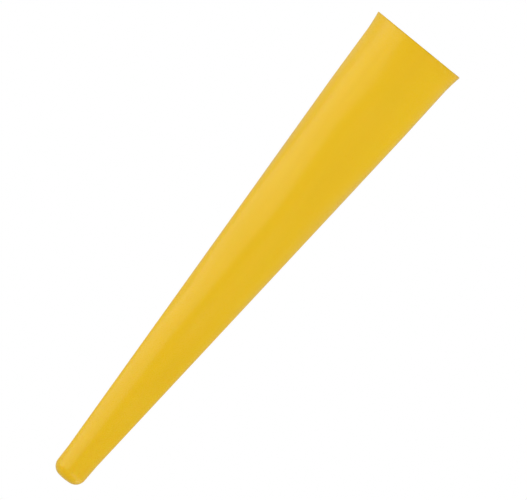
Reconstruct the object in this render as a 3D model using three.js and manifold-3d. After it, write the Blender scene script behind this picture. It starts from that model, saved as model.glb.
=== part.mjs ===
// Slip-on signal wand for a hand torch: a long tapered yellow shell, closed by a domed tip, with an
// elastic grip bush and its retaining ring inside the open mouth. The torch head goes in at the mouth.
// Millimetres, +Z up. The wand stands on its mouth: the origin is the centre of the mouth's rim, and
// +Z runs along the axis to the tip.

import * as THREE from "three";
import { mergeVertices } from "three/addons/utils/BufferGeometryUtils.js";
import Module from "manifold-3d";

// ---- Driving dimensions ----

const overallLength = 240;
const mouthRadius = 22.45; // outer radius of the belled rim
const tipRadius = 7.38; // outer radius of the nearly parallel tip
const taperPerMm = 0.0645; // radius lost per millimetre of height, between the skirt and the neck
const wall = 1.6;
const torchRadius = 17; // head of the torch that the bush grips
const assemblyGap = 0.3; // left between pieces that touch

const roundSegments = 72;
const domeSteps = 7;

// ---- Shell outline, worked out from the driving dimensions ----

const domeFillet = 4.9; // radius that rounds the tip into its small flat end
const bell = { height: 8.5, radius: mouthRadius - 1.09 }; // where the belled mouth ends
const skirt = { height: 34, radius: mouthRadius - 2.42 }; // where the steady taper starts
const neck = { height: 227.5 };
neck.radius = skirt.radius - taperPerMm * (neck.height - skirt.height);

// ---- Grip bush, its ring and the shoulder that stops it ----

const ringBottom = 0.8; // the ring is recessed, so the wand rests on the shell's rim alone
const ringHeight = 3.5;
const ringBoreRadius = torchRadius + 1;
const bushBottom = ringBottom + ringHeight + assemblyGap;
const bushTop = 34;
const bushBore = { bottom: torchRadius + 0.35, top: torchRadius + 0.1 }; // radii: the bore has draft
const leadInHeight = 1.2;
const seatThickness = 3; // flange at the top of the bush, where the torch's front rim lands
const seatOpeningRadius = 14.5;
const ribCount = 18;
const ribRadius = 0.8;
const ribReach = 0.6; // how far a rib stands out of the bore, into the torch head's path
const shoulderBottom = bushTop + assemblyGap;
const shoulderHeight = 10;
const shoulderExtra = 0.75; // extra wall where the shoulder starts

// ---- Materials ----

const shellYellow = new THREE.MeshStandardMaterial({ color: 0xe8bb28, roughness: 0.42, metalness: 0 });
const ringYellow = new THREE.MeshStandardMaterial({ color: 0xdfae22, roughness: 0.5, metalness: 0 });
const bushBlack = new THREE.MeshStandardMaterial({ color: 0x202123, roughness: 0.75, metalness: 0 });

// ---- Helpers ----

const point = (radius, height) => new THREE.Vector2(radius, height);

// A solid of revolution about +Z. The profile runs as [radius, height] points with the solid on its
// left, and starts and ends on the axis or closes on itself.
function turned(profile) {
  const geometry = new THREE.LatheGeometry(profile, roundSegments);
  geometry.rotateX(Math.PI / 2);
  return geometry;
}

function closedLoop(points) {
  return [...points, points[0].clone()];
}

// Points of a quarter circle from the parallel side of the tip to its flat end.
function domeArc(centreRadius, centreHeight, arcRadius) {
  const points = [];
  for (let i = 0; i <= domeSteps; i += 1) {
    const angle = (i / domeSteps) * (Math.PI / 2);
    points.push(point(centreRadius + arcRadius * Math.cos(angle), centreHeight + arcRadius * Math.sin(angle)));
  }
  return points;
}

// Outer radius of the shell at a height below the dome: belled mouth, skirt, straight taper, tip.
function outerRadius(height) {
  if (height <= bell.height) {
    const share = height / bell.height;
    return THREE.MathUtils.lerp(mouthRadius, bell.radius, share * (1.25 - 0.25 * share));
  }
  if (height <= skirt.height) {
    return THREE.MathUtils.mapLinear(height, bell.height, skirt.height, bell.radius, skirt.radius);
  }
  if (height <= neck.height) return skirt.radius - taperPerMm * (height - skirt.height);
  return THREE.MathUtils.mapLinear(height, neck.height, overallLength - domeFillet, neck.radius, tipRadius);
}

const innerRadius = (height) => outerRadius(height) - wall;

function toSolid(wasm, geometry) {
  const bare = geometry.clone();
  bare.deleteAttribute("normal");
  bare.deleteAttribute("uv");
  const merged = mergeVertices(bare, 1e-4);
  return new wasm.Manifold(
    new wasm.Mesh({
      numProp: 3,
      vertProperties: merged.attributes.position.array,
      triVerts: new Uint32Array(merged.index.array),
    }),
  );
}

function toGeometry(solid) {
  const mesh = solid.getMesh();
  const geometry = new THREE.BufferGeometry();
  geometry.setAttribute("position", new THREE.BufferAttribute(new Float32Array(mesh.vertProperties), 3));
  geometry.setIndex(new THREE.BufferAttribute(new Uint32Array(mesh.triVerts), 1));
  geometry.computeVertexNormals();
  return geometry;
}

function piece(name, geometry, material) {
  const mesh = new THREE.Mesh(geometry, material);
  mesh.name = name;
  return mesh;
}

// ---- Sub-parts ----

// The shell: one moulding with a 1.6 mm wall, open at the mouth and closed at the tip. Inside, a
// shoulder stops the bush.
function wandShell() {
  const domeHeight = overallLength - domeFillet;
  const domeCentre = tipRadius - domeFillet;
  const outerHeights = [0, 2.8, 5.6, bell.height, skirt.height, 82, 131, 180, neck.height];
  const innerTaperHeights = [neck.height, 180, 131, 82, shoulderBottom + shoulderHeight];
  const innerMouthHeights = [shoulderBottom, bell.height, 5.6, 2.8, 0];
  const outside = outerHeights.map((height) => point(outerRadius(height), height));
  const inside = innerTaperHeights.map((height) => point(innerRadius(height), height));
  const mouth = innerMouthHeights.map((height) => point(innerRadius(height), height));
  return turned(
    closedLoop([
      ...outside,
      ...domeArc(domeCentre, domeHeight, domeFillet),
      point(0, overallLength),
      point(0, overallLength - wall),
      ...domeArc(domeCentre, domeHeight, domeFillet - wall).reverse(),
      ...inside,
      point(innerRadius(shoulderBottom) - shoulderExtra, shoulderBottom),
      ...mouth,
    ]),
  );
}

// The bush: a rubber sleeve that follows the shell's taper, with a seat flange at its top and axial
// ribs in its bore that grip the torch head.
function gripBush(wasm) {
  const outside = (height) => point(innerRadius(height) - assemblyGap, height);
  const seatBottom = bushTop - seatThickness;
  const sleeve = turned(
    closedLoop([
      point(bushBore.bottom + leadInHeight / 2, bushBottom),
      outside(bushBottom),
      outside(bell.height),
      outside(bushTop),
      point(seatOpeningRadius, bushTop),
      point(seatOpeningRadius, seatBottom),
      point(bushBore.top, seatBottom),
      point(bushBore.bottom, bushBottom + leadInHeight),
    ]),
  );
  const ribBottom = bushBottom + leadInHeight;
  const ribHeight = seatBottom + seatThickness / 2 - ribBottom;
  const rib = new THREE.CylinderGeometry(ribRadius, ribRadius, ribHeight, 10);
  rib.rotateX(Math.PI / 2);
  rib.translate(bushBore.top - ribReach + ribRadius, 0, ribBottom + ribHeight / 2);
  let bush = toSolid(wasm, sleeve);
  for (let i = 0; i < ribCount; i += 1) {
    bush = bush.add(toSolid(wasm, rib.clone().rotateZ((i / ribCount) * 2 * Math.PI)));
  }
  return toGeometry(bush);
}

// The ring: a stiff band welded in the mouth under the bush, so that the bush can't pull out with
// the torch.
function retainingRing() {
  const ringTop = ringBottom + ringHeight;
  const chamfer = 0.6;
  return turned(
    closedLoop([
      point(ringBoreRadius + chamfer, ringBottom),
      point(innerRadius(ringBottom) - assemblyGap, ringBottom),
      point(innerRadius(ringTop) - assemblyGap, ringTop),
      point(ringBoreRadius, ringTop),
      point(ringBoreRadius, ringBottom + chamfer),
    ]),
  );
}

// ---- Assembly ----

const wasm = await Module();
wasm.setup();

const wand = new THREE.Group();
wand.add(piece("wand_shell", wandShell(), shellYellow));
wand.add(piece("grip_bush", gripBush(wasm), bushBlack));
wand.add(piece("retaining_ring", retainingRing(), ringYellow));

export default wand;
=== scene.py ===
"""Looks for a slip-on signal wand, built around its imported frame.

The wand is a long tapered shell in satin amber plastic, open at the mouth and closed by a domed tip.
A black rubber bush and a stiff yellow ring sit inside the mouth. Everything is in metres, with +Z
running along the axis from the mouth to the tip.
"""

import logging
import math
from dataclasses import dataclass, field
from enum import Enum

import bpy
from mathutils import Matrix, Vector


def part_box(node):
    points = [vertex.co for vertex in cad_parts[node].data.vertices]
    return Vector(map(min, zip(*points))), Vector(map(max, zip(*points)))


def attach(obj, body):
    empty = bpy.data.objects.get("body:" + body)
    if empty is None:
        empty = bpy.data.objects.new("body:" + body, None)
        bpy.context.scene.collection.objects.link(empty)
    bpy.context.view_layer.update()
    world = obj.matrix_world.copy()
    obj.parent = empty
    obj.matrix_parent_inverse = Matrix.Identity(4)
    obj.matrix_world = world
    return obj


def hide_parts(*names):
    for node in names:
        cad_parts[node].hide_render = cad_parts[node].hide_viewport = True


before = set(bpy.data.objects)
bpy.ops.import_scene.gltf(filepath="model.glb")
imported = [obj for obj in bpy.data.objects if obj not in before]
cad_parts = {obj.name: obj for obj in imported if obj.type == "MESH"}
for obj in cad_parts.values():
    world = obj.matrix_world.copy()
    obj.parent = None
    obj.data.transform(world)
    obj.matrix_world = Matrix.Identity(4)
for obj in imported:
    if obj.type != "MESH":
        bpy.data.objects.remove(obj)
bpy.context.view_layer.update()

BODY = "root"
MM = 0.001

log = logging.getLogger("signal_wand")

Colour = tuple[float, float, float]
Outline = list[tuple[float, float]]


# ---------------------------------------------------------------------------
# Modelling
# ---------------------------------------------------------------------------


class Bench:
    """The few workbench moves that every piece is made with."""

    @staticmethod
    def clear() -> None:
        """Leaves edit mode and deselects everything."""
        if bpy.context.object is not None and bpy.context.object.mode != "OBJECT":
            bpy.ops.object.mode_set(mode="OBJECT")
        bpy.ops.object.select_all(action="DESELECT")

    @staticmethod
    def take(piece: bpy.types.Object) -> None:
        """Makes one piece the only selected and active object.

        Args:
            piece: the object to work on.
        """
        Bench.clear()
        piece.select_set(True)
        bpy.context.view_layer.objects.active = piece

    @staticmethod
    def apply(piece: bpy.types.Object, kind: str, **settings: object) -> None:
        """Adds a modifier to a piece and applies it.

        Args:
            piece: the mesh to change.
            kind: the modifier's type, such as BEVEL.
            settings: the modifier's properties by name.
        """
        Bench.take(piece)
        modifier = piece.modifiers.new(kind.lower(), kind)
        for key, value in settings.items():
            setattr(modifier, key, value)
        bpy.ops.object.modifier_apply(modifier=modifier.name)

    @staticmethod
    def smooth(piece: bpy.types.Object, degrees: float = 35.0) -> None:
        """Shades a piece smooth, with edges sharper than an angle left crisp.

        Args:
            piece: the mesh to shade.
            degrees: the angle past which an edge stays sharp.
        """
        Bench.take(piece)
        bpy.ops.object.shade_smooth_by_angle(angle=math.radians(degrees))

    @staticmethod
    def close(piece: bpy.types.Object, tolerance: float = 1e-6) -> None:
        """Merges doubled vertices and turns every face outwards.

        Args:
            piece: the mesh to clean.
            tolerance: distance under which two vertices are one.
        """
        Bench.take(piece)
        bpy.ops.object.mode_set(mode="EDIT")
        bpy.ops.mesh.select_all(action="SELECT")
        bpy.ops.mesh.remove_doubles(threshold=tolerance)
        bpy.ops.mesh.normals_make_consistent(inside=False)
        bpy.ops.object.mode_set(mode="OBJECT")


def arc(centre: tuple[float, float], radius: float, start: float, end: float, steps: int) -> Outline:
    """Points of a circular arc in the outline's plane, both ends included.

    Args:
        centre: radius and height of the arc's centre.
        radius: the arc's own radius.
        start: angle of the first point, in degrees from straight outwards.
        end: angle of the last point, in degrees.
        steps: number of straight steps that stand for the arc.

    Returns:
        The points as (radius, height).
    """
    points = []
    for i in range(steps + 1):
        angle = math.radians(start + (end - start) * i / steps)
        points.append((centre[0] + radius * math.cos(angle), centre[1] + radius * math.sin(angle)))
    return points


def copies_round(first: bpy.types.Object, count: int) -> bpy.types.Object:
    """Copies a piece in equal turns about +Z and joins the copies into it.

    Args:
        first: the piece to copy, with its place in its mesh.
        count: how many there are in all.

    Returns:
        The joined piece, which is the first one.
    """
    copies = [first]
    for i in range(1, count):
        copy = first.copy()
        copy.data = first.data.copy()
        bpy.context.collection.objects.link(copy)
        copy.data.transform(Matrix.Rotation(2 * math.pi * i / count, 4, "Z"))
        copies.append(copy)
    Bench.take(first)
    for copy in copies:
        copy.select_set(True)
    bpy.ops.object.join()
    return first


@dataclass
class Turning:
    """A piece of revolution about +Z: an outline drawn point by point, then spun round."""

    name: str
    outline: Outline
    closed: bool = False
    steps: int = 144
    longest: float = 3.2 * MM

    def make(self) -> bpy.types.Object:
        """Draws the outline, divides its long stretches, spins it and closes it.

        Returns:
            The finished mesh object, at the origin.
        """
        piece = self._first_point()
        for here, there in zip(self.outline, self._targets()):
            self._draw_to(here, there)
        bpy.ops.mesh.select_all(action="SELECT")
        bpy.ops.mesh.spin(steps=self.steps, angle=2 * math.pi, center=(0, 0, 0), axis=(0, 0, 1))
        bpy.ops.object.mode_set(mode="OBJECT")
        Bench.close(piece)
        return piece

    def _targets(self) -> Outline:
        """The point that each stretch of the outline runs to."""
        return self.outline[1:] + (self.outline[:1] if self.closed else [])

    def _first_point(self) -> bpy.types.Object:
        """Adds a plane and collapses it to the outline's first point.

        Returns:
            The new object, left in edit mode.
        """
        Bench.clear()
        bpy.ops.mesh.primitive_plane_add(size=MM, location=(0, 0, 0))
        piece = bpy.context.object
        piece.name = self.name
        piece.data.name = self.name
        bpy.ops.object.mode_set(mode="EDIT")
        bpy.ops.mesh.select_all(action="SELECT")
        bpy.ops.mesh.merge(type="CENTER")
        radius, height = self.outline[0]
        bpy.ops.transform.translate(value=(radius, 0, height))
        return piece

    def _draw_to(self, here: tuple[float, float], there: tuple[float, float]) -> None:
        """Extrudes the drawn line to the next point, in equal steps.

        Args:
            here: where the line ends now.
            there: the next point of the outline.
        """
        run, rise = there[0] - here[0], there[1] - here[1]
        cuts = max(1, math.ceil(math.hypot(run, rise) / self.longest))
        step = (run / cuts, 0, rise / cuts)
        for _ in range(cuts):
            bpy.ops.mesh.extrude_region_move(TRANSFORM_OT_translate={"value": step})


# ---------------------------------------------------------------------------
# Shader maths
# ---------------------------------------------------------------------------


class Signal:
    """A shader socket that adds, subtracts, multiplies and divides like a number."""

    def __init__(self, sheet: "ShaderSheet", socket: bpy.types.NodeSocket) -> None:
        """Wraps one output socket.

        Args:
            sheet: the sheet that the socket's node is on.
            socket: the output socket.
        """
        self.sheet = sheet
        self.socket = socket

    def _maths(self, operation: str, first: object, second: object) -> "Signal":
        """Adds a Math node.

        Args:
            operation: the node's operation, such as ADD.
            first: a number or a Signal.
            second: a number or a Signal.

        Returns:
            The node's value.
        """
        return self.sheet.node("ShaderNodeMath", {"operation": operation}, {0: first, 1: second})

    def __add__(self, other: object) -> "Signal":
        """self + other."""
        return self._maths("ADD", self, other)

    def __radd__(self, other: object) -> "Signal":
        """other + self."""
        return self._maths("ADD", other, self)

    def __sub__(self, other: object) -> "Signal":
        """self - other."""
        return self._maths("SUBTRACT", self, other)

    def __rsub__(self, other: object) -> "Signal":
        """other - self."""
        return self._maths("SUBTRACT", other, self)

    def __mul__(self, other: object) -> "Signal":
        """self * other."""
        return self._maths("MULTIPLY", self, other)

    def __rmul__(self, other: object) -> "Signal":
        """other * self."""
        return self._maths("MULTIPLY", other, self)

    def __truediv__(self, other: object) -> "Signal":
        """self / other."""
        return self._maths("DIVIDE", self, other)


class ShaderSheet:
    """The node tree of one material, filled one node at a time."""

    def __init__(self, name: str) -> None:
        """Starts a material whose tree holds only its output.

        Args:
            name: the material's name.
        """
        self.material = bpy.data.materials.new(name)
        self.material.use_nodes = True
        self.tree = self.material.node_tree
        self.tree.nodes.clear()
        self.output = self.tree.nodes.new("ShaderNodeOutputMaterial")

    def node(
        self,
        kind: str,
        settings: dict[str, object] | None = None,
        inputs: dict[str | int, object] | None = None,
        out: str | int = 0,
    ) -> Signal:
        """Adds one node.

        Args:
            kind: the node's type.
            settings: its properties; "stops" sets a ramp's stops as (position, grey level).
            inputs: a value or a Signal for each named or numbered input socket.
            out: the output socket that is handed back.

        Returns:
            The chosen output socket as a Signal.
        """
        node = self.tree.nodes.new(kind)
        for key, value in (settings or {}).items():
            if key == "stops":
                self._set_stops(node.color_ramp, value)
            else:
                setattr(node, key, value)
        for key, value in (inputs or {}).items():
            if isinstance(value, Signal):
                self.tree.links.new(value.socket, node.inputs[key])
            else:
                node.inputs[key].default_value = value
        return Signal(self, node.outputs[out])

    @staticmethod
    def _set_stops(ramp: bpy.types.ColorRamp, stops: list[tuple[float, float]]) -> None:
        """Gives a ramp its stops.

        Args:
            ramp: the ramp to fill.
            stops: its stops as (position, grey level).
        """
        while len(ramp.elements) < len(stops):
            ramp.elements.new(0.5)
        for element, (position, level) in zip(ramp.elements, stops):
            element.position = position
            element.color = (level, level, level, 1)

    def place(self) -> Signal:
        """The point on the piece, in metres in the frame."""
        return self.node("ShaderNodeTexCoord", out="Object")

    def stretched(self, factors: Colour) -> Signal:
        """The point on the piece with each axis multiplied by its own factor."""
        settings = {"operation": "MULTIPLY"}
        return self.node("ShaderNodeVectorMath", settings, {0: self.place(), 1: factors})

    def height(self) -> Signal:
        """The height above the mouth's rim, in metres."""
        return self.node("ShaderNodeSeparateXYZ", inputs={0: self.place()}, out="Z")

    def noise(
        self, factors: Colour, detail: float = 2.0, roughness: float = 0.5, variant: float = 0.0
    ) -> Signal:
        """Noise from 0 to 1.

        Args:
            factors: repeats per metre along X, Y and Z.
            detail: octaves of finer noise.
            roughness: how strong the finer octaves are.
            variant: picks another pattern of the same kind.

        Returns:
            The noise value.
        """
        inputs = {
            "Vector": self.stretched(factors),
            "W": variant,
            "Scale": 1.0,
            "Detail": detail,
            "Roughness": roughness,
        }
        return self.node("ShaderNodeTexNoise", {"noise_dimensions": "4D"}, inputs, "Fac")

    def ramp(self, value: Signal, stops: list[tuple[float, float]]) -> Signal:
        """A value passed through a grey ramp."""
        return self.node("ShaderNodeValToRGB", {"stops": stops}, {"Fac": value}, "Color")

    def band(self, value: Signal, low: float, high: float) -> Signal:
        """A smooth rise from 0 to 1 between two values.

        Args:
            value: the value that is looked at.
            low: where the rise starts.
            high: where it ends; if it is under low, the rise is a fall from 1 to 0.

        Returns:
            A value from 0 to 1.
        """
        settings = {"interpolation_type": "SMOOTHSTEP", "clamp": True}
        inputs = {"Value": value, "From Min": low, "From Max": high}
        if low > high:
            inputs = {"Value": value, "From Min": high, "From Max": low, "To Min": 1.0, "To Max": 0.0}
        return self.node("ShaderNodeMapRange", settings, inputs)

    def blend(self, factor: Signal, first: object, second: object) -> Signal:
        """Mixes two colours.

        Args:
            factor: 0 gives the first colour, 1 the second.
            first: a colour or a Signal.
            second: a colour or a Signal.

        Returns:
            The mixed colour.
        """
        settings = {"data_type": "RGBA", "clamp_factor": True}
        inputs = {0: factor, 6: rgba(first), 7: rgba(second)}
        return self.node("ShaderNodeMix", settings, inputs, 2)

    def bump(self, height: Signal, distance: float, strength: float, below: Signal | None = None) -> Signal:
        """A Bump node, on top of another one where given.

        Args:
            height: the surface's height as a share of distance.
            distance: metres that a height of 1 stands for.
            strength: how much of the effect is used.
            below: the Bump this one is laid on.

        Returns:
            The bent normal.
        """
        inputs = {"Height": height, "Distance": distance, "Strength": strength}
        if below is not None:
            inputs["Normal"] = below
        return self.node("ShaderNodeBump", {}, inputs)

    def finish(self, shader: Signal) -> bpy.types.Material:
        """Joins the last shader to the output and hands back the material."""
        self.tree.links.new(shader.socket, self.output.inputs["Surface"])
        return self.material


def rgba(colour: object) -> object:
    """A colour with full alpha, or a Signal as it is."""
    return colour if isinstance(colour, Signal) else (*colour, 1.0)


# ---------------------------------------------------------------------------
# Finishes
# ---------------------------------------------------------------------------


@dataclass(frozen=True)
class SatinPlastic:
    """Soft moulded plastic, coloured through, that lets a little light in and has a fine satin skin."""

    name: str
    colour: Colour
    # darker colour, used both for random mottling and for painted shade that deepens towards the tip
    shade_and_mottle_colour: Colour
    scuffed: Colour
    roughness: float = 0.28
    glow: float = 0.25  # share of the light that goes under the skin
    unevenness: float = 0.9  # strength of the slow waves that make the highlight wander

    def material(self, scuff_height: float, tip_height: float) -> bpy.types.Material:
        """Builds the material.

        Args:
            scuff_height: height under which the mouth's edge is rubbed, in metres.
            tip_height: height of the wand's tip, where the painted shade is deepest.

        Returns:
            The material, ready to be put on a piece.
        """
        sheet = ShaderSheet(self.name)
        cloud = sheet.noise((26, 26, 9), detail=3)
        streaks = sheet.noise((260, 260, 11), detail=2)
        grain = sheet.noise((2400, 2400, 2400), detail=2, roughness=0.6)
        worn = sheet.band(sheet.height(), scuff_height, 0.0) * sheet.band(
            sheet.noise((420, 420, 900), detail=4, roughness=0.65), 0.5, 0.68
        )
        mottled = sheet.band(cloud * 0.7 + streaks * 0.3, 0.35, 0.65)
        # the height term is painted shade: the colour darkens from the mouth to the tip to even out how the
        # lamps light the wand; the mottled term is random tone in the plastic
        depth = mottled * 0.3 + sheet.band(sheet.height(), 0.0, tip_height) * 0.7
        shaded_and_mottled = sheet.blend(depth, self.colour, self.shade_and_mottle_colour)
        colour = sheet.blend(worn * 0.5, shaded_and_mottled, self.scuffed)
        roughness = self.roughness + (cloud - 0.5) * 0.08 + (grain - 0.5) * 0.1 + worn * 0.2
        waves = sheet.noise((45, 45, 20), detail=0.6, variant=55.8)
        normal = sheet.bump(waves, 5.5 * MM, self.unevenness)
        normal = sheet.bump(streaks, 0.05 * MM, 0.35, normal)
        normal = sheet.bump(grain, 0.02 * MM, 0.5, normal)
        shader = sheet.node(
            "ShaderNodeBsdfPrincipled",
            {"subsurface_method": "RANDOM_WALK"},
            {
                "Base Color": colour,
                "Roughness": roughness,
                "IOR": 1.5,
                "Specular IOR Level": 0.27,
                "Subsurface Weight": self.glow,
                "Subsurface Radius": (1.0, 0.55, 0.08),
                "Subsurface Scale": 2.5 * MM,
                "Normal": normal,
            },
        )
        return sheet.finish(shader)


@dataclass(frozen=True)
class MouldedRubber:
    """Matt black rubber with a faint bloom and the fine tooth of its mould."""

    name: str
    colour: Colour
    bloom: Colour
    roughness: float = 0.72

    def material(self) -> bpy.types.Material:
        """Builds the material.

        Returns:
            The material, ready to be put on a piece.
        """
        sheet = ShaderSheet(self.name)
        cloud = sheet.noise((90, 90, 60), detail=4, roughness=0.6)
        tooth = sheet.noise((1900, 1900, 1900), detail=3, roughness=0.6)
        bloomed = sheet.band(cloud, 0.45, 0.75)
        colour = sheet.blend(bloomed * 0.6, self.colour, self.bloom)
        roughness = self.roughness + bloomed * 0.12 + (tooth - 0.5) * 0.12
        normal = sheet.bump(tooth, 0.05 * MM, 0.6)
        shader = sheet.node(
            "ShaderNodeBsdfPrincipled",
            {},
            {"Base Color": colour, "Roughness": roughness, "Specular IOR Level": 0.4, "Normal": normal},
        )
        return sheet.finish(shader)


AMBER = SatinPlastic(
    name="amber_shell_plastic",
    colour=(0.943, 0.583, 0.009),
    # darker amber for the mottling and for the painted shade towards the tip
    shade_and_mottle_colour=(0.850, 0.517, 0.007),
    scuffed=(0.90, 0.64, 0.14),
)
AMBER_HARD = SatinPlastic(
    name="amber_ring_plastic",
    colour=(0.75, 0.43, 0.012),
    shade_and_mottle_colour=(0.70, 0.39, 0.008),
    scuffed=(0.84, 0.60, 0.16),
    roughness=0.36,
    glow=0.08,
    unevenness=0.0,
)
BLACK_RUBBER = MouldedRubber(
    name="black_bush_rubber",
    colour=(0.014, 0.014, 0.015),
    bloom=(0.045, 0.044, 0.042),
)


# ---------------------------------------------------------------------------
# Pieces
# ---------------------------------------------------------------------------


def hand_over(piece: bpy.types.Object, node: str, material: bpy.types.Material) -> None:
    """Dresses a finished piece, puts it on the body and lets it stand for its CAD node.

    Args:
        piece: the finished mesh.
        node: the CAD node it stands for.
        material: its finish.
    """
    piece.data.materials.clear()
    piece.data.materials.append(material)
    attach(piece, BODY)
    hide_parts(node)
    log.info("%s: %d faces, %s", piece.name, len(piece.data.polygons), material.name)


@dataclass
class WandShell:
    """The tapered shell: a 1.6 mm wall, belled at the mouth and domed at the tip."""

    length: float
    mouth_radius: float
    wall: float = 1.6 * MM
    lip_round: float = 0.35 * MM
    bell_height: float = 8.5 * MM
    bell_flare: float = 1.09 * MM  # how far the lip stands out past the top of the bell
    bell_bow: float = 0.25  # 0 makes the bell a straight cone
    skirt_height: float = 34.0 * MM
    skirt_flare: float = 2.42 * MM  # how far the lip stands out past the top of the skirt
    taper: float = 0.0645  # radius lost per metre of height, in metres
    neck_below_tip: float = 12.5 * MM
    tip_radius: float = 7.38 * MM
    dome_fillet: float = 4.9 * MM
    crown: float = 0.12 * MM  # rise of the tip's end from its rounded corner to the gate mark
    gate_radius: float = 1.35 * MM
    gate_depth: float = 0.18 * MM
    nub_foot: float = 0.45  # the nub's radii, as shares of the gate's
    nub_top: float = 0.38
    shoulder_bottom: float = 34.3 * MM
    shoulder_height: float = 10.0 * MM
    shoulder_extra: float = 0.75 * MM

    def radius_at(self, height: float) -> float:
        """Outer radius of the belled mouth, the skirt, the straight taper or the tip.

        Args:
            height: the height above the rim, below the dome.

        Returns:
            The radius there.
        """
        bell_top = self.mouth_radius - self.bell_flare
        skirt_top = self.mouth_radius - self.skirt_flare
        if height <= self.bell_height:
            share = height / self.bell_height
            return self.mouth_radius - self.bell_flare * share * (1 + self.bell_bow * (1 - share))
        if height <= self.skirt_height:
            share = (height - self.bell_height) / (self.skirt_height - self.bell_height)
            return bell_top + (skirt_top - bell_top) * share
        neck = self.length - self.neck_below_tip
        along = skirt_top - self.taper * (min(height, neck) - self.skirt_height)
        if height <= neck:
            return along
        share = (height - neck) / (self.length - self.dome_fillet - neck)
        return along + (self.tip_radius - along) * min(share, 1.0)

    def outline(self) -> Outline:
        """The wall's section, from the axis under the tip, round the lip, to the axis on the tip.

        Returns:
            Points as (radius, height).
        """
        centre = (self.tip_radius - self.dome_fillet, self.length - self.dome_fillet)
        outer_centre = (centre[0], centre[1] - self.crown)
        inner_fillet = self.dome_fillet - self.wall
        neck = self.length - self.neck_below_tip
        shoulder_top = self.shoulder_bottom + self.shoulder_height
        inner = [(self.radius_at(h) - self.wall, h) for h in (neck, shoulder_top)]
        shoulder = [
            (self.radius_at(self.shoulder_bottom) - self.wall - self.shoulder_extra, self.shoulder_bottom),
            (self.radius_at(self.shoulder_bottom) - self.wall, self.shoulder_bottom),
        ]
        bell = [self.bell_height * i / 6 for i in range(6, 0, -1)]
        inner_bell = [(self.radius_at(h) - self.wall, h) for h in bell]
        outer_bell = [(self.radius_at(h), h) for h in reversed(bell)]
        return [
            (0.0, self.length - self.wall),
            *arc(centre, inner_fillet, 90, 0, 10),
            *inner,
            *shoulder,
            *inner_bell,
            *self._lip(),
            *outer_bell,
            (self.radius_at(self.skirt_height), self.skirt_height),
            (self.radius_at(neck), neck),
            *arc(outer_centre, self.dome_fillet, 0, 90, 16),
            *self._gate(),
        ]

    def _lip(self) -> Outline:
        """The mouth's edge: a flat rim with both corners rounded.

        Returns:
            Points from the inside to the outside, as (radius, height).
        """
        r = self.lip_round
        inside = self.mouth_radius - self.wall
        outside = self.mouth_radius
        return [
            *arc((inside + r, r), r, 180, 270, 4),
            *arc((outside - r, r), r, 270, 360, 4),
        ]

    def _gate(self) -> Outline:
        """The mark left at the tip where the plastic came in: a shallow dish with a trimmed nub.

        Returns:
            Points from the dish's edge to the axis, as (radius, height).
        """
        top, dish = self.length, self.length - self.gate_depth
        r = self.gate_radius
        return [
            (r, top),
            (r - self.gate_depth, dish),
            (self.nub_foot * r, dish),
            (self.nub_top * r, top - 0.2 * self.gate_depth),
            (0.0, top - 0.15 * self.gate_depth),
        ]

    def build(self) -> bpy.types.Object:
        """Models the shell and hands it over.

        Returns:
            The finished shell.
        """
        shell = Turning("wand_shell_skin", self.outline(), steps=160).make()
        Bench.smooth(shell, 40)
        hand_over(shell, "wand_shell", AMBER.material(3.0 * MM, self.length))
        return shell


@dataclass
class GripBush:
    """The rubber bush: a sleeve that follows the shell, a seat flange, and ribs that grip the torch."""

    shell: WandShell
    bottom: float
    top: float
    gap: float = 0.3 * MM
    bore_bottom: float = 17.35 * MM
    bore_top: float = 17.1 * MM
    lead_in: float = 1.2 * MM
    seat_thickness: float = 3.0 * MM
    seat_opening: float = 14.5 * MM
    edge: float = 0.35 * MM
    ribs: int = 18
    rib_radius: float = 0.8 * MM
    rib_reach: float = 0.6 * MM
    weld: float = 0.01 * MM

    def outline(self) -> Outline:
        """The sleeve's section, with its edges rounded.

        Returns:
            Points as (radius, height).
        """
        e = self.edge
        inset = self.shell.wall + self.gap
        seat = self.top - self.seat_thickness
        heights = (self.bottom + e, self.shell.bell_height, self.top - e)
        outer = [(self.shell.radius_at(h) - inset, h) for h in heights]
        return [
            (self.bore_bottom + 0.5 * self.lead_in, self.bottom),
            (outer[0][0] - e, self.bottom),
            *outer,
            (outer[-1][0] - e, self.top),
            *arc((self.seat_opening + e, self.top - e), e, 90, 180, 4),
            *arc((self.seat_opening + e, seat + e), e, 180, 270, 4),
            (self.bore_top, seat),
            (self.bore_bottom, self.bottom + self.lead_in),
        ]

    def _ribs(self) -> bpy.types.Object:
        """Models one rib with rounded ends and copies it round the bore.

        Returns:
            All ribs as one mesh.
        """
        low = self.bottom + self.lead_in
        high = self.top - 0.5 * self.seat_thickness
        centre = self.bore_top - self.rib_reach + self.rib_radius
        Bench.clear()
        bpy.ops.mesh.primitive_cylinder_add(
            vertices=24,
            radius=self.rib_radius,
            depth=high - low,
            location=(centre, 0, (low + high) / 2),
        )
        rib = bpy.context.object
        bpy.ops.object.transform_apply(location=True, rotation=True, scale=True)
        Bench.apply(rib, "BEVEL", width=0.5 * self.rib_radius, segments=3, limit_method="ANGLE")
        return copies_round(rib, self.ribs)

    def build(self) -> bpy.types.Object:
        """Models the bush and hands it over.

        Returns:
            The finished bush.
        """
        bush = Turning("grip_bush_rubber", self.outline(), closed=True, steps=144, longest=8 * MM).make()
        ribs = self._ribs()
        Bench.apply(bush, "BOOLEAN", operation="UNION", object=ribs, solver="EXACT")
        bpy.data.objects.remove(ribs)
        Bench.close(bush, self.weld)
        Bench.smooth(bush, 35)
        hand_over(bush, "grip_bush", BLACK_RUBBER.material())
        return bush


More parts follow.
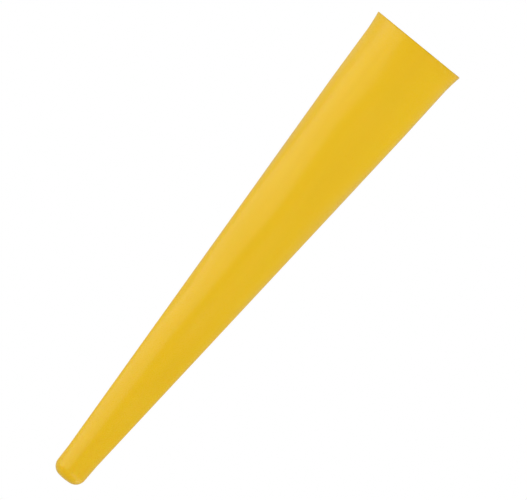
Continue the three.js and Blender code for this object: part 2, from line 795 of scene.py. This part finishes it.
@dataclass
class RetainingRing:
    """The stiff ring under the bush, with softened edges and three ejector marks."""

    shell: WandShell
    bottom: float
    top: float
    gap: float = 0.3 * MM
    bore: float = 18.0 * MM
    chamfer: float = 0.6 * MM
    edge: float = 0.25 * MM
    marks: int = 3
    mark_radius: float = 0.7 * MM
    mark_inset: float = 1.35 * MM
    mark_depth: float = 0.12 * MM
    weld: float = 0.01 * MM

    def outline(self) -> Outline:
        """The ring's section, with its edges rounded.

        Returns:
            Points as (radius, height).
        """
        e = self.edge
        inset = self.shell.wall + self.gap
        low = self.shell.radius_at(self.bottom) - inset
        high = self.shell.radius_at(self.top) - inset
        return [
            (self.bore + self.chamfer, self.bottom),
            *arc((low - e, self.bottom + e), e, 270, 360, 4),
            *arc((high - e, self.top - e), e, 0, 90, 4),
            *arc((self.bore + e, self.top - e), e, 90, 180, 4),
            (self.bore, self.bottom + self.chamfer),
        ]

    def _marks(self) -> bpy.types.Object:
        """Models the cutters for the round marks that the mould's ejector pins left underneath.

        Returns:
            All cutters as one mesh.
        """
        Bench.clear()
        bpy.ops.mesh.primitive_cylinder_add(
            vertices=32,
            radius=self.mark_radius,
            depth=2 * self.mark_depth,
            location=(self.bore + self.mark_inset, 0, self.bottom),
        )
        cutter = bpy.context.object
        bpy.ops.object.transform_apply(location=True, rotation=True, scale=True)
        return copies_round(cutter, self.marks)

    def build(self) -> bpy.types.Object:
        """Models the ring and hands it over.

        Returns:
            The finished ring.
        """
        ring = Turning("retaining_ring_band", self.outline(), closed=True, steps=144, longest=8 * MM).make()
        marks = self._marks()
        Bench.apply(ring, "BOOLEAN", operation="DIFFERENCE", object=marks, solver="EXACT")
        bpy.data.objects.remove(marks)
        Bench.close(ring, self.weld)
        Bench.smooth(ring, 35)
        hand_over(ring, "retaining_ring", AMBER_HARD.material(0.0, self.shell.length))
        return ring


# ---------------------------------------------------------------------------
# Studio
# ---------------------------------------------------------------------------


class Lamp(Enum):
    """What each soft light is for."""

    KEY_FRONT = "key_softbox_front"
    KEY_SIDE = "key_softbox_side"
    FILL_FRONT = "fill_softbox_front"
    FILL_SIDE = "fill_softbox_side"
    BACK = "back_softbox"


@dataclass(frozen=True)
class SoftBox:
    """A rectangular soft light that faces the middle of the wand."""

    role: Lamp
    bearing: float
    reach: float
    height: float
    width: float
    drop: float
    watts: float
    glint: bool = True

    def build(self, target: Vector) -> None:
        """Hangs the light so that it faces a point.

        The bearing is in degrees round the wand, from the camera's side towards +X. A light without
        glint lights the wand but makes no highlight on it.

        Args:
            target: the point that it looks at.
        """
        angle = math.radians(self.bearing)
        place = Vector((self.reach * math.sin(angle), -self.reach * math.cos(angle), self.height))
        Bench.clear()
        bpy.ops.object.light_add(type="AREA", location=place)
        lamp = bpy.context.object
        lamp.name = self.role.value
        lamp.data.shape = "RECTANGLE"
        lamp.data.size = self.width
        lamp.data.size_y = self.drop
        lamp.data.energy = self.watts
        lamp.visible_camera = False
        lamp.visible_glossy = self.glint
        lamp.rotation_euler = (target - place).to_track_quat("-Z", "Y").to_euler()
        log.info("%s: %.2f by %.2f m, %.1f W", lamp.name, self.width, self.drop, self.watts)


@dataclass
class Studio:
    """Pale floor, white surroundings, soft lights and the camera."""

    wand_length: float
    floor_radius: float = 3.0
    floor_colour: Colour = (0.90, 0.90, 0.90)
    surround: float = 0.45
    distance: float = 4.0
    field_width: float = 0.2254
    aim_height: float = 0.1101
    aim_side: float = -0.0041
    tip_angle: float = 50.72
    lamps: list[SoftBox] = field(
        default_factory=lambda: [
            SoftBox(Lamp.KEY_FRONT, bearing=50, reach=1.2, height=0.25, width=0.9, drop=0.9, watts=3.5),
            SoftBox(Lamp.KEY_SIDE, bearing=90, reach=1.2, height=0.25, width=0.9, drop=0.9, watts=4.0),
            SoftBox(Lamp.FILL_FRONT, bearing=-38, reach=2.3, height=1.5, width=2.8, drop=1.2, watts=22.5),
            SoftBox(Lamp.FILL_SIDE, bearing=-105, reach=2.3, height=1.5, width=2.6, drop=1.2, watts=11.0),
            SoftBox(
                Lamp.BACK, bearing=170, reach=2.3, height=1.5, width=2.6, drop=1.2, watts=17.0, glint=False
            ),
        ]
    )

    def build(self) -> None:
        """Sets up the floor, the surroundings, the lights and the camera."""
        self._floor()
        self._surroundings()
        for lamp in self.lamps:
            lamp.build(Vector((0, 0, self.wand_length / 2)))
        self._camera()
        bpy.context.scene.view_settings.view_transform = "Standard"

    def _floor(self) -> None:
        """A plain pale disc, level with the mouth's rim."""
        Bench.clear()
        bpy.ops.mesh.primitive_circle_add(vertices=96, radius=self.floor_radius, fill_type="NGON")
        floor = bpy.context.object
        floor.name = "studio_floor"
        sheet = ShaderSheet("pale_floor")
        tone = sheet.noise((3, 3, 3), detail=2)
        lighter = tuple(c * 1.01 for c in self.floor_colour)
        colour = sheet.blend(tone, self.floor_colour, lighter)
        shader = sheet.node("ShaderNodeBsdfPrincipled", {}, {"Base Color": colour, "Roughness": 0.8})
        floor.data.materials.append(sheet.finish(shader))

    def _surroundings(self) -> None:
        """White behind the wand, and a softer grey-white as a light."""
        world = bpy.data.worlds.new("white_surroundings")
        bpy.context.scene.world = world
        world.use_nodes = True
        tree = world.node_tree
        tree.nodes.clear()
        seen = tree.nodes.new("ShaderNodeBackground")
        seen.inputs["Color"].default_value = (1, 1, 1, 1)
        light = tree.nodes.new("ShaderNodeBackground")
        light.inputs["Color"].default_value = (1, 1, 1, 1)
        light.inputs["Strength"].default_value = self.surround
        path = tree.nodes.new("ShaderNodeLightPath")
        mix = tree.nodes.new("ShaderNodeMixShader")
        output = tree.nodes.new("ShaderNodeOutputWorld")
        tree.links.new(path.outputs["Is Camera Ray"], mix.inputs[0])
        tree.links.new(light.outputs[0], mix.inputs[1])
        tree.links.new(seen.outputs[0], mix.inputs[2])
        tree.links.new(mix.outputs[0], output.inputs["Surface"])

    def _camera(self) -> None:
        """A long lens level with the mouth, rolled so that the tip points down to the left."""
        aim = Vector((self.aim_side, 0, self.aim_height))
        place = Vector((self.aim_side, -self.distance, 0))
        forward = (aim - place).normalized()
        up = (Vector((0, 0, 1)) - forward * forward.z).normalized()
        roll = math.radians(90 + self.tip_angle)
        up = Matrix.Rotation(roll, 3, forward) @ up
        right = forward.cross(up)
        Bench.clear()
        bpy.ops.object.camera_add(location=place)
        camera = bpy.context.object
        camera.name = "camera"
        turn = Matrix((right, up, -forward)).transposed()
        camera.rotation_euler = turn.to_euler()
        camera.data.sensor_width = 36.0
        camera.data.lens = camera.data.sensor_width * (aim - place).length / self.field_width
        camera.data.clip_end = 20.0
        bpy.context.scene.camera = camera


def main() -> None:
    """Builds every piece in order, then the studio."""
    logging.basicConfig(level=logging.INFO, format="%(message)s")
    low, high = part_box("wand_shell")
    shell = WandShell(length=high.z - low.z, mouth_radius=(high.x - low.x) / 2)
    shell.build()
    bush_low, bush_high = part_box("grip_bush")
    GripBush(shell, bottom=bush_low.z, top=bush_high.z).build()
    ring_low, ring_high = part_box("retaining_ring")
    RetainingRing(shell, bottom=ring_low.z, top=ring_high.z).build()
    Studio(wand_length=shell.length).build()


if __name__ == "__main__":
    main()
